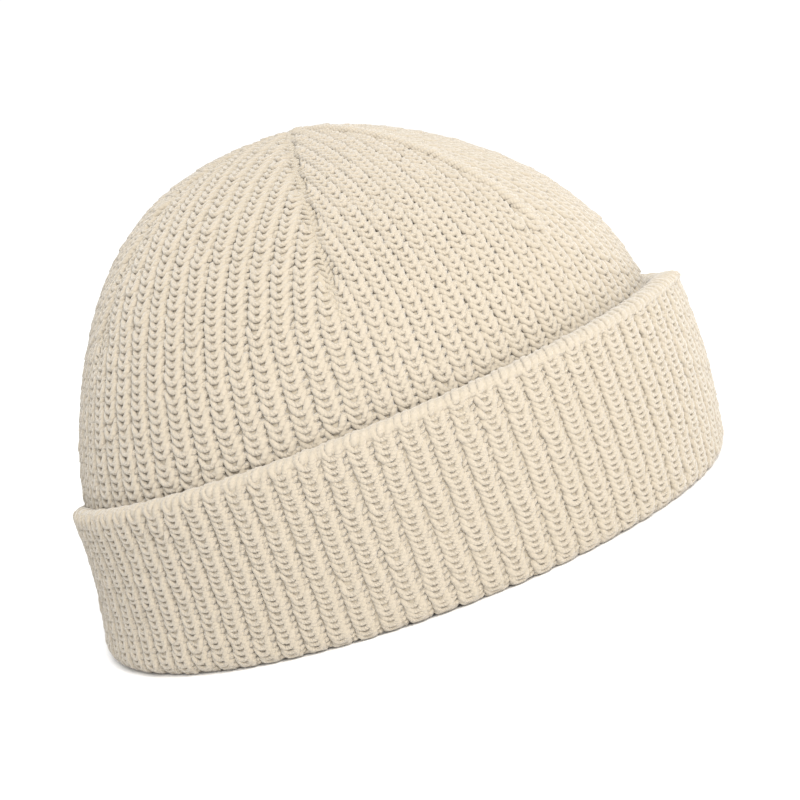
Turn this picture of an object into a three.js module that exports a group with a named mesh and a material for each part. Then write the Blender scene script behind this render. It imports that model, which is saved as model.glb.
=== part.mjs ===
// A fisherman beanie: a ribbed knit crown closed by six darts, with a turned-up cuff.
// Millimetres, +Z up. It rests on the flat underside of its bottom fold, at z = 0.
// +X is the wearer's front, and one dart faces -Y.
import * as THREE from 'three';

// The folded band, measured over the outside of the bottom fold
const bandLength = 224;
const bandWidth = 175.5;
const knitThickness = 4.4;
const ribRelief = 1.6;

// The cuff. Its edge is higher at the front end and on the -Y side, and drops by a step
// on the +Y side: the step starts and ends at these sines of the angle round the cuff.
// The cuff bulges at the front end and is drawn in at the rear one.
const cuffHeight = 58.7;
const cuffEdgeLength = 218.6;
const cuffEdgeWidth = 181;
const cuffEdgeLiftX = 4.9;
const cuffEdgeLiftY = -5.1;
const cuffEdgeDrop = 4.5;
const cuffEdgeDropStart = -0.35;
const cuffEdgeDropEnd = 0.25;
const cuffEdgeShiftX = 3.4;
const cuffEdgeShiftY = -2.2;
const cuffBulge = 1.8;
const foldRadius = 5.5;
const foldFlat = 3;
const lipHeight = 8;
const edgeRollDiameter = 3.8;
const edgeRollLump = 0.3;

// The crown, measured where it comes out of the cuff, whose edge stands out from it
const edgeStandOutLength = 17.2;
const edgeStandOutWidth = 13.8;
const crownBaseLength = cuffEdgeLength - edgeStandOutLength;
const crownBaseWidth = cuffEdgeWidth - edgeStandOutWidth;
const crownHeight = 146;
const crownBaseHeight = 51.8;
const crownBaseShiftX = 0.6;
const crownBaseShiftY = -2.3;
const tipX = 6.2;
const tipY = 15.5;
const ribsPerGore = 13;
const dartTurn = 2;
const dartStart = 0.29;
const tipRibPitch = 5.7;
const dartCrease = 2.2;
const seamDiameter = 1.8;
const clearance = 0.35;

// How the crown rounds over towards each side: its profile is
// reach^crest + rise^shoulder = 1, in shares of the side's full reach and rise.
const sides = {
  front: { crest: 1.43, shoulder: 2.1 },
  rear: { crest: 3.08, shoulder: 1.21 },
  left: { crest: 1.5, shoulder: 2.4 },
  right: { crest: 1.65, shoulder: 2.43 },
};

// How much of the way round each gore takes, from the dart facing -Y towards the front
const goreShares = [0.147, 0.174, 0.168, 0.164, 0.16, 0.187];

// How the bottom fold rounds off: shares of its radius up, and of its rounding in
const foldSteps = [
  { rise: 0, inset: 1 },
  { rise: 0.16, inset: 0.42 },
  { rise: 0.5, inset: 0.1 },
];

const ecru = 0xd9cfb8;
const paleEcru = 0xe2d9c4;

const fullTurn = 2 * Math.PI;
const goreCount = goreShares.length;
const ribCount = ribsPerGore * goreCount;
const columnCount = 2 * ribCount;
const dartZero = THREE.MathUtils.degToRad(-90 + dartTurn);
const mix = THREE.MathUtils.lerp;

// Growing lists of corners and triangles that become one closed mesh
class Solid {
  constructor() {
    this.corners = [];
    this.triangles = [];
  }

  ring(points) {
    const first = this.corners.length;
    this.corners.push(...points);
    return points.map((_, index) => first + index);
  }

  face(a, b, c) {
    this.triangles.push(a, b, c);
  }

  // A band of triangles between two closed rings, which may have different counts
  join(lower, upper) {
    let i = 0;
    let j = 0;
    while (i < lower.length || j < upper.length) {
      const a = lower[i % lower.length];
      const b = upper[j % upper.length];
      const lowerIsNext = (i + 1) / lower.length <= (j + 1) / upper.length;
      if (j >= upper.length || (i < lower.length && lowerIsNext)) {
        this.face(a, lower[(i + 1) % lower.length], b);
        i += 1;
      } else {
        this.face(a, upper[(j + 1) % upper.length], b);
        j += 1;
      }
    }
  }

  joinAll(rings) {
    rings.slice(1).forEach((ring, index) => this.join(rings[index], ring));
  }

  fan(ring, tip) {
    ring.forEach((corner, index) => this.face(corner, ring[(index + 1) % ring.length], tip));
  }

  mesh(name, color) {
    const geometry = new THREE.BufferGeometry();
    const numbers = this.corners.flatMap((corner) => corner.toArray());
    geometry.setAttribute('position', new THREE.Float32BufferAttribute(numbers, 3));
    geometry.setIndex(this.triangles);
    geometry.computeVertexNormals();
    const finish = { color, roughness: 0.95, metalness: 0, flatShading: true };
    const mesh = new THREE.Mesh(geometry, new THREE.MeshStandardMaterial(finish));
    mesh.name = name;
    return mesh;
  }
}

// Angles that share the band's outline out evenly, starting at the dart that faces -Y
const evenAngles = (() => {
  const steps = 2880;
  const lengths = [0];
  for (let step = 0; step < steps; step += 1) {
    const angle = dartZero + (fullTurn * (step + 0.5)) / steps;
    const pace = Math.hypot(crownBaseLength * Math.sin(angle), crownBaseWidth * Math.cos(angle));
    lengths.push(lengths[step] + pace);
  }
  return (share) => {
    const turns = Math.floor(share);
    const wanted = (share - turns) * lengths[steps];
    let low = 0;
    let high = steps;
    while (high - low > 1) {
      const middle = (low + high) >> 1;
      if (lengths[middle] <= wanted) low = middle;
      else high = middle;
    }
    const part = (wanted - lengths[low]) / (lengths[low + 1] - lengths[low]);
    return dartZero + fullTurn * (turns + (low + part) / steps);
  };
})();

// Where the crown's ribs stand: every gore has the same count, evenly over its own share
const shareBefore = (gore) => goreShares.slice(0, gore).reduce((sum, share) => sum + share, 0);

function crownAngle(share) {
  const gore = Math.min(Math.floor(share * goreCount), goreCount - 1);
  return evenAngles(shareBefore(gore) + (share * goreCount - gore) * goreShares[gore]);
}

// The smooth middle of the crown's outer face. Angle goes round the tip, and climb
// runs from 0 at the base to 1 at the tip, evenly along the cloth.
const profiles = new Map();
function crownProfile(angle) {
  const key = angle.toFixed(5);
  if (profiles.has(key)) return profiles.get(key);
  const towardsX = Math.cos(angle) ** 2;
  const sideX = Math.cos(angle) > 0 ? sides.front : sides.rear;
  const sideY = Math.sin(angle) > 0 ? sides.left : sides.right;
  const crest = mix(sideY.crest, sideX.crest, towardsX);
  const shoulder = mix(sideY.shoulder, sideX.shoulder, towardsX);
  const outX = crownBaseShiftX + (crownBaseLength / 2) * Math.cos(angle) - tipX;
  const outY = crownBaseShiftY + (crownBaseWidth / 2) * Math.sin(angle) - tipY;
  const out = Math.hypot(outX, outY);
  const rise = crownHeight - ribRelief / 2 - crownBaseHeight;
  const steps = 96;
  const track = [];
  let length = 0;
  for (let step = 0; step <= steps; step += 1) {
    const bend = (Math.PI / 2) * (1 - step / steps);
    const reach = Math.sin(bend) ** (2 / crest);
    const lift = Math.max(0, Math.cos(bend)) ** (2 / shoulder);
    const last = track[step - 1];
    if (last) length += Math.hypot((reach - last.reach) * out, (lift - last.lift) * rise);
    track.push({ reach, lift, length });
  }
  profiles.set(key, { track, length, outX, outY, rise });
  return profiles.get(key);
}

function crownMiddle(angle, climb) {
  const { track, length, outX, outY, rise } = crownProfile(angle);
  const wanted = THREE.MathUtils.clamp(climb, 0, 1) * length;
  let step = 1;
  while (step < track.length - 1 && track[step].length < wanted) step += 1;
  const before = track[step - 1];
  const after = track[step];
  const part = (wanted - before.length) / Math.max(after.length - before.length, 1e-9);
  const reach = mix(before.reach, after.reach, part);
  const lift = mix(before.lift, after.lift, part);
  return new THREE.Vector3(tipX + reach * outX, tipY + reach * outY, crownBaseHeight + lift * rise);
}

// The point on a surface, moved out from it by a depth. Surfaces map (angle, climb).
function offset(surface, angle, climb, depth) {
  const step = 1e-3;
  const up = Math.min(climb, 1 - 2 * step);
  const across = surface(angle + step, up).sub(surface(angle - step, up));
  const along = surface(angle, up + step).sub(surface(angle, up - step));
  const out = across.cross(along).normalize();
  return surface(angle, climb).addScaledVector(out, depth);
}

// How far round one gore a share of its width lies, at one climb. The angles step
// evenly along the cloth, so ribs keep an even width across the gore.
function goreAngle(gore, share, climb) {
  const start = crownAngle(gore / goreCount);
  const end = crownAngle((gore + 1) / goreCount);
  const steps = 24;
  const lengths = [0];
  let last = crownMiddle(start, climb);
  for (let step = 1; step <= steps; step += 1) {
    const next = crownMiddle(mix(start, end, step / steps), climb);
    lengths.push(lengths[step - 1] + next.distanceTo(last));
    last = next;
  }
  const wanted = share * lengths[steps];
  let step = 1;
  while (step < steps && lengths[step] < wanted) step += 1;
  const part = (wanted - lengths[step - 1]) / (lengths[step] - lengths[step - 1]);
  return mix(start, end, (step - 1 + part) / steps);
}

function outlineLength(climb) {
  const steps = 144;
  const at = (step) => crownMiddle((fullTurn * step) / steps, climb);
  return Array.from({ length: steps }, (_, step) => at(step).distanceTo(at(step + 1)))
    .reduce((sum, piece) => sum + piece, 0);
}

// Above the darts' lower ends the gores narrow, and their outer ribs stop at the seams.
function ribsAcross(climb) {
  const startPitch = outlineLength(dartStart) / ribCount;
  const pitch = mix(startPitch, tipRibPitch, (climb - dartStart) / (1 - dartStart));
  return outlineLength(climb) / goreCount / pitch;
}

function climbWithRibs(ribs) {
  let low = dartStart;
  let high = 1;
  for (let round = 0; round < 30; round += 1) {
    const middle = (low + high) / 2;
    if (ribsAcross(middle) > ribs) low = middle;
    else high = middle;
  }
  return (low + high) / 2;
}

const dartRows = Array.from({ length: ribsPerGore }, (_, row) => {
  const ribs = ribsPerGore - row;
  return { ribs, climb: row === 0 ? dartStart : climbWithRibs(ribs) };
});

function ribDepth(column) {
  return (column % 2 === 0 ? -ribRelief : ribRelief) / 2;
}

function makeCrown() {
  const crown = new Solid();
  const skirtClimbs = [0, 0.35, 0.7];
  const wallClimbs = [0, 0.27, 0.53, 0.78].map((share) => share * dartStart);
  const outer = (surface, climb) => Array.from({ length: columnCount }, (_, column) => {
    return offset(surface, crownAngle(column / columnCount), climb, ribDepth(column));
  });
  const rings = [
    ...skirtClimbs.map((climb) => crown.ring(outer(skirtMiddle, climb))),
    ...wallClimbs.map((climb) => crown.ring(outer(crownMiddle, climb))),
  ];

  // Rings of the gores: each has one rib less than the ring below
  const goreRings = dartRows.map(({ ribs, climb }, row) => {
    const points = [];
    for (let gore = 0; gore < goreCount; gore += 1) {
      for (let step = 0; step < 2 * ribs; step += 1) {
        const angle = goreAngle(gore, step / (2 * ribs), climb);
        const depth = step === 0 ? -dartCrease : ribDepth(step + row);
        points.push(offset(crownMiddle, angle, climb, depth));
      }
    }
    return crown.ring(points);
  });
  crown.joinAll([...rings, goreRings[0]]);
  goreRings.slice(1).forEach((upper, row) => {
    const lower = goreRings[row];
    const lowerSteps = lower.length / goreCount;
    const upperSteps = upper.length / goreCount;
    for (let gore = 0; gore < goreCount; gore += 1) {
      const low = (step) => lower[(gore * lowerSteps + step) % lower.length];
      const high = (step) => upper[(gore * upperSteps + step) % upper.length];
      crown.face(low(0), low(1), high(0));
      for (let step = 0; step < upperSteps; step += 1) {
        crown.face(low(step + 1), low(step + 2), high(step));
        crown.face(low(step + 2), high(step + 1), high(step));
      }
      crown.face(low(lowerSteps - 1), low(lowerSteps), high(upperSteps));
    }
  });
  const [tip] = crown.ring([offset(crownMiddle, 0, 1, -ribRelief)]);
  crown.fan(goreRings.at(-1), tip);

  // The smooth inner face, from the tip down to the lower edge
  const innerColumns = 36;
  const inner = (surface, climb) => Array.from({ length: innerColumns }, (_, column) => {
    return offset(surface, crownAngle(column / innerColumns), climb, -knitThickness);
  });
  const innerTip = crownMiddle(0, 1);
  innerTip.z -= knitThickness + ribRelief;
  const [underTip] = crown.ring([innerTip]);
  const innerRings = [
    ...[0.93, 0.84, 0.74, 0.62, 0.5, 0.38, 0.26, 0.13, 0].map((climb) => {
      return crown.ring(inner(crownMiddle, climb));
    }),
    ...[0.5, 0].map((climb) => crown.ring(inner(skirtMiddle, climb))),
  ];
  crown.fan([...innerRings[0]].reverse(), underTip);
  crown.joinAll(innerRings);
  crown.join(innerRings.at(-1), rings[0]);
  return crown.mesh('crown', ecru);
}

// The outside of the cuff, from the fold (0) up to its edge (1). It bulges midway.
function cuffEdgeHeight(angle) {
  const dropped = THREE.MathUtils.smoothstep(Math.sin(angle), cuffEdgeDropStart, cuffEdgeDropEnd);
  const tilt = cuffEdgeLiftX * Math.cos(angle) + cuffEdgeLiftY * Math.sin(angle);
  return cuffHeight + tilt - cuffEdgeDrop * dropped;
}

function cuffOutline(angle, climb) {
  const bulge = cuffBulge * Math.sin(Math.PI * climb) * Math.cos(angle);
  const halfLength = mix(bandLength, cuffEdgeLength, climb) / 2 + bulge;
  const halfWidth = mix(bandWidth, cuffEdgeWidth, climb) / 2 + bulge;
  const x = cuffEdgeShiftX * climb + halfLength * Math.cos(angle);
  const y = cuffEdgeShiftY * climb + halfWidth * Math.sin(angle);
  return new THREE.Vector2(x, y);
}

// A point of the cuff: so high, and so far in from the outline at that height
function cuffPoint(angle, height, inset) {
  const climb = Math.max(0, (height - foldRadius) / (cuffEdgeHeight(angle) - foldRadius));
  const before = cuffOutline(angle - 1e-3, climb);
  const along = cuffOutline(angle + 1e-3, climb).sub(before).normalize();
  const point = cuffOutline(angle, climb).add(new THREE.Vector2(-along.y, along.x).multiplyScalar(inset));
  return new THREE.Vector3(point.x, point.y, height);
}

// The crown's cloth inside the cuff, from the lip of the fold (0) up to the base (1).
// It lies against the cuff at the bottom and comes away from it higher up.
function skirtMiddle(angle, climb) {
  const height = mix(lipHeight + clearance + ribRelief, crownBaseHeight, climb);
  const against = cuffPoint(angle, height, knitThickness + clearance + ribRelief);
  const base = crownMiddle(angle, 0);
  return against.lerp(new THREE.Vector3(base.x, base.y, height), climb ** 2);
}

function makeCuff() {
  const cuff = new Solid();
  const ribbed = (heightAt, inset) => cuff.ring(Array.from({ length: columnCount }, (_, column) => {
    const angle = evenAngles(column / columnCount);
    return cuffPoint(angle, heightAt(angle), inset + ribRelief / 2 + ribDepth(column));
  }));
  const smoothColumns = ribCount;
  const smooth = (heightAt, inset) => cuff.ring(Array.from({ length: smoothColumns }, (_, column) => {
    const angle = evenAngles(column / smoothColumns);
    return cuffPoint(angle, heightAt(angle), inset);
  }));
  const wallTop = (angle) => cuffEdgeHeight(angle) - edgeRollDiameter - clearance;
  const wallPart = (share) => (angle) => mix(foldRadius, wallTop(angle), share);
  const bandThickness = 2 * knitThickness + clearance;
  const foldRound = (bandThickness - foldFlat) / 2;
  const lastFold = foldSteps.at(-1);

  // Once round the section: up the outside, over the top, down inside and under the fold
  const rings = [
    ...foldSteps.map(({ rise, inset }) => ribbed(() => foldRadius * rise, foldRound * inset)),
    ...[0, 0.3, 0.65, 1].map((share) => ribbed(wallPart(share), 0)),
    smooth(wallTop, knitThickness),
    smooth(wallPart(0.5), knitThickness),
    smooth(() => lipHeight, knitThickness),
    smooth(() => lipHeight, bandThickness),
    smooth(() => foldRadius * lastFold.rise, bandThickness - foldRound * lastFold.inset),
    smooth(() => 0, bandThickness - foldRound),
  ];
  cuff.joinAll([...rings, rings[0]]);
  return cuff.mesh('cuff', ecru);
}

// The cast-on edge: a soft roll on the cuff's top, with one lump to each rib
function makeCuffEdge() {
  const roll = new Solid();
  const sectionSides = 6;
  const middleInset = knitThickness / 2;
  const rings = Array.from({ length: sectionSides }, (_, side) => {
    const bend = (-fullTurn * side) / sectionSides;
    return roll.ring(Array.from({ length: columnCount }, (_, column) => {
      const angle = evenAngles(column / columnCount);
      const radius = edgeRollDiameter / 2 - (column % 2 === 0 ? edgeRollLump : 0);
      const height = cuffEdgeHeight(angle) - edgeRollDiameter / 2 + radius * Math.sin(bend);
      return cuffPoint(angle, height, middleInset + radius * Math.cos(bend));
    }));
  });
  roll.joinAll([...rings, rings[0]]);
  return roll.mesh('cuff_edge', paleEcru);
}

// A dart's linked seam: a round chain that lies in the crease, clear of the cloth
function makeDartSeam(gore) {
  const seam = new Solid();
  const sectionSides = 6;
  const angle = crownAngle(gore / goreCount);
  const depth = seamDiameter / 2 + clearance * 3 - dartCrease;
  const rings = dartRows.map(({ climb }) => {
    const middle = offset(crownMiddle, angle, climb, depth);
    const along = offset(crownMiddle, angle, climb + 1e-3, depth).sub(middle).normalize();
    const out = offset(crownMiddle, angle, climb, depth + 1).sub(middle).normalize();
    const across = along.clone().cross(out);
    return seam.ring(Array.from({ length: sectionSides }, (_, side) => {
      const bend = (fullTurn * side) / sectionSides;
      return middle.clone()
        .addScaledVector(across, -Math.cos(bend) * (seamDiameter / 2))
        .addScaledVector(out, Math.sin(bend) * (seamDiameter / 2));
    }));
  });
  const endTip = (ring) => {
    const sum = ring.reduce((total, corner) => total.add(seam.corners[corner]), new THREE.Vector3());
    return seam.ring([sum.divideScalar(ring.length)])[0];
  };
  seam.joinAll(rings);
  seam.fan(rings.at(-1), endTip(rings.at(-1)));
  seam.fan([...rings[0]].reverse(), endTip(rings[0]));
  return seam.mesh(`dart_seam_${gore + 1}`, paleEcru);
}

const hat = new THREE.Group();
hat.add(makeCrown(), makeCuff(), makeCuffEdge());
for (let gore = 0; gore < goreCount; gore += 1) hat.add(makeDartSeam(gore));

// The frame's origin is under the middle of the whole hat
const middle = new THREE.Box3().setFromObject(hat).getCenter(new THREE.Vector3());
for (const piece of hat.children) piece.geometry.translate(-middle.x, -middle.y, 0);

export default hat;
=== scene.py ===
"""A chunky ribbed fisherman beanie, knitted in ecru wool-cotton yarn, with its cuff turned up.

The hat's sizes are in millimetres, and the lamp's and the floor's are in metres. A climb is the
share of the way up the crown's cloth, from its base at nought to its tip at one."""

import bpy
import numpy as np
from mathutils import Matrix, Vector


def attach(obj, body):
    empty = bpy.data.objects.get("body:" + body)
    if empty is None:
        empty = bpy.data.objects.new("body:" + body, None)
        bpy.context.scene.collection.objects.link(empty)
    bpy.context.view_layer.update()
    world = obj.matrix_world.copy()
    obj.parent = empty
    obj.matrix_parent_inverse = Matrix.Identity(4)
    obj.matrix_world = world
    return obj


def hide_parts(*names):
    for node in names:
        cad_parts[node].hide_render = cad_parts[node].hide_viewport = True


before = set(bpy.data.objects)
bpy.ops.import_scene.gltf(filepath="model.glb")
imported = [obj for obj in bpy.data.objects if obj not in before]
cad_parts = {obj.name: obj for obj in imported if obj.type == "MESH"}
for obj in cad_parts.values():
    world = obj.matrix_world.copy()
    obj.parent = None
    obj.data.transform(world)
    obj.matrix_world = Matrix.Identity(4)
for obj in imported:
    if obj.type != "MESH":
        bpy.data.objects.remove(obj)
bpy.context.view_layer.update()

# The photographer's table and lamp: a seamless pale sheet, one large soft lamp high on the
# near side, and a pale room whose walls are dark past the hat's two ends. The camera stands a
# little above the hat and is rolled, so the hat leans up to the right.
FOLD_MIDDLE = (-1.065, 2.054)
CAMERA_TURN, CAMERA_RISE, CAMERA_ROLL = 0.017, 0.211, -0.346
CAMERA_DISTANCE, CAMERA_FOCAL = 620.0, 1823.5
PHOTO_WIDTH, SENSOR_WIDTH = 800.0, 36.0
LOOK_SIDE, LOOK_HEIGHT = 11.007, 48.464


def camera_axes():
    """The camera's directions to the right, up and backward, and its place in millimetres."""
    back = Vector((np.sin(CAMERA_TURN) * np.cos(CAMERA_RISE), -np.cos(CAMERA_TURN) * np.cos(CAMERA_RISE),
                   np.sin(CAMERA_RISE)))
    level = Vector((np.cos(CAMERA_TURN), np.sin(CAMERA_TURN), 0.0))
    upward = back.cross(level)
    across = level * np.cos(CAMERA_ROLL) + upward * np.sin(CAMERA_ROLL)
    above = upward * np.cos(CAMERA_ROLL) - level * np.sin(CAMERA_ROLL)
    look = level * LOOK_SIDE + Vector((FOLD_MIDDLE[0], FOLD_MIDDLE[1], LOOK_HEIGHT))
    return across, above, back, look + back * CAMERA_DISTANCE


def place_camera():
    across, above, back, place = camera_axes()
    camera = bpy.data.objects.new("camera", bpy.data.cameras.new("camera"))
    bpy.context.scene.collection.objects.link(camera)
    camera.data.sensor_width = SENSOR_WIDTH
    camera.data.lens = SENSOR_WIDTH * CAMERA_FOCAL / PHOTO_WIDTH
    camera.data.clip_start = 0.01
    turn = Matrix((across, above, back)).transposed().to_4x4()
    camera.matrix_world = Matrix.Translation(place * 0.001) @ turn
    bpy.context.scene.camera = camera


place_camera()

LAMP_PLACE, LAMP_AIM = (0.48, -1.13, 0.82), (0.0, 0.0, 0.06)
LAMP_SIZE, LAMP_POWER = 0.9, 32.0
LAMP_COLOUR = (1.0, 0.98, 0.945)


def place_key_lamp():
    lamp = bpy.data.objects.new("key_lamp", bpy.data.lights.new("key_lamp", "AREA"))
    bpy.context.scene.collection.objects.link(lamp)
    lamp.data.shape = "DISK"
    lamp.data.size = LAMP_SIZE
    lamp.data.energy = LAMP_POWER
    lamp.data.color = LAMP_COLOUR
    lamp.location = LAMP_PLACE
    aim = Vector(LAMP_AIM) - Vector(LAMP_PLACE)
    lamp.rotation_euler = aim.to_track_quat("-Z", "Y").to_euler()


place_key_lamp()


class Value:
    """A shader socket that can be used in Python sums."""

    def __init__(self, finish, socket):
        self.finish = finish
        self.socket = socket

    def maths(self, operation, *inputs):
        return self.finish.node("ShaderNodeMath", {"operation": operation}, dict(enumerate(inputs)))

    def __add__(self, other):
        return self.maths("ADD", self, other)

    __radd__ = __add__

    def __sub__(self, other):
        return self.maths("SUBTRACT", self, other)

    def __rsub__(self, other):
        return self.maths("SUBTRACT", other, self)

    def __mul__(self, other):
        return self.maths("MULTIPLY", self, other)

    __rmul__ = __mul__


class Finish:
    """A material's or the room's nodes, which are added one at a time."""

    def __init__(self, owner, shader="Principled BSDF"):
        owner.use_nodes = True
        self.owner = owner
        self.tree = owner.node_tree
        self.shader = self.tree.nodes[shader]

    def node(self, kind, settings=(), inputs=(), output=0):
        made = self.tree.nodes.new(kind)
        for setting, value in dict(settings).items():
            if setting == "stops":
                ramp = made.color_ramp
                while len(ramp.elements) < len(value):
                    ramp.elements.new(1.0)
                for stop, (place, colour) in zip(ramp.elements, value):
                    stop.position = place
                    stop.color = colour
            else:
                setattr(made, setting, value)
        for socket, value in dict(inputs).items():
            self.feed(made.inputs[socket], value)
        return Value(self, made.outputs[output])

    def feed(self, socket, value):
        if isinstance(value, Value):
            self.tree.links.new(value.socket, socket)
        else:
            socket.default_value = value


ROOM_COLOUR, ROOM_STRENGTH = (0.985, 0.99, 1.0, 1.0), 1.42
SKIRTING_BRIGHTNESS = 0.9
CEILING_BRIGHTNESS = 1.4
CEILING_TO_RIGHT, CEILING_AT_ENDS, CEILING_ON_FAR_SIDE = 0.12, -1.45, -0.3


def pale_room():
    """Light from all round: a pale skirting, walls that darken at the hat's ends, and a ceiling."""
    room = Finish(bpy.data.worlds.new("pale_room"), "Background")
    towards = room.node("ShaderNodeTexCoord", output="Generated")
    towards_front = room.node("ShaderNodeSeparateXYZ", {}, {"Vector": towards}, output="X")
    away = room.node("ShaderNodeSeparateXYZ", {}, {"Vector": towards}, output="Y")
    upward = room.node("ShaderNodeSeparateXYZ", {}, {"Vector": towards}, output="Z")
    walls = room.node("ShaderNodeValToRGB", {"stops": [
        (0.27, (0.0, 0.0, 0.0, 1.0)),
        (0.45, (1.0, 1.0, 1.0, 1.0)),
        (0.63, (1.0, 1.0, 1.0, 1.0)),
        (0.8, (0.0, 0.0, 0.0, 1.0)),
    ]}, {"Fac": towards_front * 0.5 + 0.5})
    overhead = room.node("ShaderNodeMapRange", {"interpolation_type": "SMOOTHSTEP"},
                         {"Value": upward, "From Min": 0.2, "From Max": 0.75})
    skirting = room.node("ShaderNodeMapRange", {"interpolation_type": "SMOOTHSTEP"},
                         {"Value": upward, "From Min": 0.15, "From Max": 0.09})
    ends = towards_front * towards_front
    ceiling = CEILING_BRIGHTNESS + towards_front * CEILING_TO_RIGHT + ends * CEILING_AT_ENDS
    ceiling = ceiling + away * CEILING_ON_FAR_SIDE
    sides = walls * (1.0 - skirting) + skirting * SKIRTING_BRIGHTNESS
    brightness = sides * (1.0 - overhead) + overhead * ceiling
    room.feed(room.shader.inputs["Color"], ROOM_COLOUR)
    room.feed(room.shader.inputs["Strength"], brightness * ROOM_STRENGTH)
    bpy.context.scene.world = room.owner
    bpy.context.scene.view_settings.view_transform = "Standard"
    bpy.context.scene.view_settings.exposure = -0.25


pale_room()

FLOOR_HALF = 40.0


def pale_floor():
    far = FLOOR_HALF
    corners = [(-far, -far, 0.0), (far, -far, 0.0), (far, far, 0.0), (-far, far, 0.0)]
    sheet = bpy.data.meshes.new("floor")
    sheet.from_pydata(corners, [], [(0, 1, 2, 3)])
    floor = bpy.data.objects.new("floor", sheet)
    bpy.context.scene.collection.objects.link(floor)
    paper = Finish(bpy.data.materials.new("pale_paper"))
    paper.feed(paper.shader.inputs["Base Color"], (0.99, 0.985, 0.98, 1.0))
    paper.feed(paper.shader.inputs["Roughness"], 1.0)
    paper.feed(paper.shader.inputs["Specular IOR Level"], 0.0)
    sheet.materials.append(paper.owner)


pale_floor()

# The crown's cloth: a tube of chunky rib knit, drawn in by six darts that meet at the tip.
# Each of its six gores has 13 ribs, which run straight up the gore and end on the darts.
# The web between the ribs is the back of the knit, and it is what shows inside the hat.
KNIT_THICKNESS = 4.4
RIB_RELIEF = 1.6
CROWN_HEIGHT = 146.0
CROWN_BASE_LENGTH, CROWN_BASE_WIDTH, CROWN_BASE_HEIGHT = 201.4, 167.2, 51.8
CROWN_BASE_SHIFT = (0.6, -2.3)
TIP = (6.2, 15.5)
RIBS_PER_GORE = 13
GORE_SHARES = (0.147, 0.174, 0.168, 0.164, 0.16, 0.187)
DART_TURN = 2.0
DART_START = 0.29
DART_CREASE_HALF = 0.3
TIP_RIB_PITCH = 5.7
CROWN_SIDES = {
    "front": {"crest": 1.43, "shoulder": 2.1},
    "rear": {"crest": 3.08, "shoulder": 1.21},
    "left": {"crest": 1.5, "shoulder": 2.4},
    "right": {"crest": 1.65, "shoulder": 2.43},
}
GORES = len(GORE_SHARES)
RIBS = RIBS_PER_GORE * GORES
TURN_STEPS, PROFILE_STEPS, CLIMB_STEPS = 2880, 240, 200
TURNS = np.radians(DART_TURN - 90.0) + np.linspace(0.0, 2.0 * np.pi, TURN_STEPS + 1)


def round_shares():
    """How far round the crown's base each of the turns lies, as a share of the whole way."""
    pace = np.hypot(CROWN_BASE_LENGTH * np.sin(TURNS), CROWN_BASE_WIDTH * np.cos(TURNS))
    lengths = np.r_[0.0, np.cumsum((pace[1:] + pace[:-1]) / 2.0)]
    return lengths / lengths[-1]


ROUND_SHARES = round_shares()


def even_angle(share):
    """The angle at which that share of the way round lies, evenly along the outline."""
    turns = np.floor(share)
    return np.interp(share - turns, ROUND_SHARES, TURNS) + turns * 2.0 * np.pi


def roundness(angles, part):
    """How full the crown's crest or shoulder is at each angle, blended from its four sides."""
    full = {side: CROWN_SIDES[side][part] for side in CROWN_SIDES}
    end = np.where(np.cos(angles) > 0, full["front"], full["rear"])
    flank = np.where(np.sin(angles) > 0, full["left"], full["right"])
    return flank + (end - flank) * np.cos(angles) ** 2


def crown_profiles(angles):
    """Rows of points from the crown's base to its tip, evenly along the cloth, at each angle."""
    crest, shoulder = roundness(angles, "crest"), roundness(angles, "shoulder")
    out_x = CROWN_BASE_SHIFT[0] + CROWN_BASE_LENGTH / 2.0 * np.cos(angles) - TIP[0]
    out_y = CROWN_BASE_SHIFT[1] + CROWN_BASE_WIDTH / 2.0 * np.sin(angles) - TIP[1]
    rise = CROWN_HEIGHT - RIB_RELIEF / 2.0 - CROWN_BASE_HEIGHT
    bend = np.pi / 2.0 * (1.0 - np.linspace(0.0, 1.0, PROFILE_STEPS))
    reach = np.sin(bend)[None, :] ** (2.0 / crest[:, None])
    lift = np.maximum(np.cos(bend), 0.0)[None, :] ** (2.0 / shoulder[:, None])
    out = np.hypot(out_x, out_y)[:, None]
    step = np.hypot(np.diff(reach) * out, np.diff(lift) * rise)
    length = np.c_[np.zeros(len(angles)), np.cumsum(step, axis=1)]
    climbs = np.linspace(0.0, 1.0, CLIMB_STEPS + 1)
    reach = np.array([np.interp(climbs * way[-1], way, one) for way, one in zip(length, reach)])
    lift = np.array([np.interp(climbs * way[-1], way, one) for way, one in zip(length, lift)])
    points = np.stack([FOLD_MIDDLE[0] + TIP[0] + reach * out_x[:, None],
                       FOLD_MIDDLE[1] + TIP[1] + reach * out_y[:, None],
                       CROWN_BASE_HEIGHT + lift * rise], axis=-1)
    return points, length[:, -1]


def look_up(grid, row, column):
    """Values between a grid's nodes, at fractional rows and columns."""
    row = np.clip(row, 0.0, grid.shape[0] - 1.0001)
    column = np.clip(column, 0.0, grid.shape[1] - 1.0001)
    at_row, at_column = row.astype(int), column.astype(int)
    down, along = row - at_row, column - at_column
    if grid.ndim == 3:
        down, along = down[..., None], along[..., None]
    near = grid[at_row, at_column] * (1 - along) + grid[at_row, at_column + 1] * along
    far = grid[at_row + 1, at_column] * (1 - along) + grid[at_row + 1, at_column + 1] * along
    return near * (1 - down) + far * down


CROWN_ANGLES = TURNS[::4]
CROWN_GRID, CROWN_LENGTHS = crown_profiles(CROWN_ANGLES)
CROWN_LENGTH = float(CROWN_LENGTHS.mean())
CROWN_SKIRT_STEP = 150.0


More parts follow.
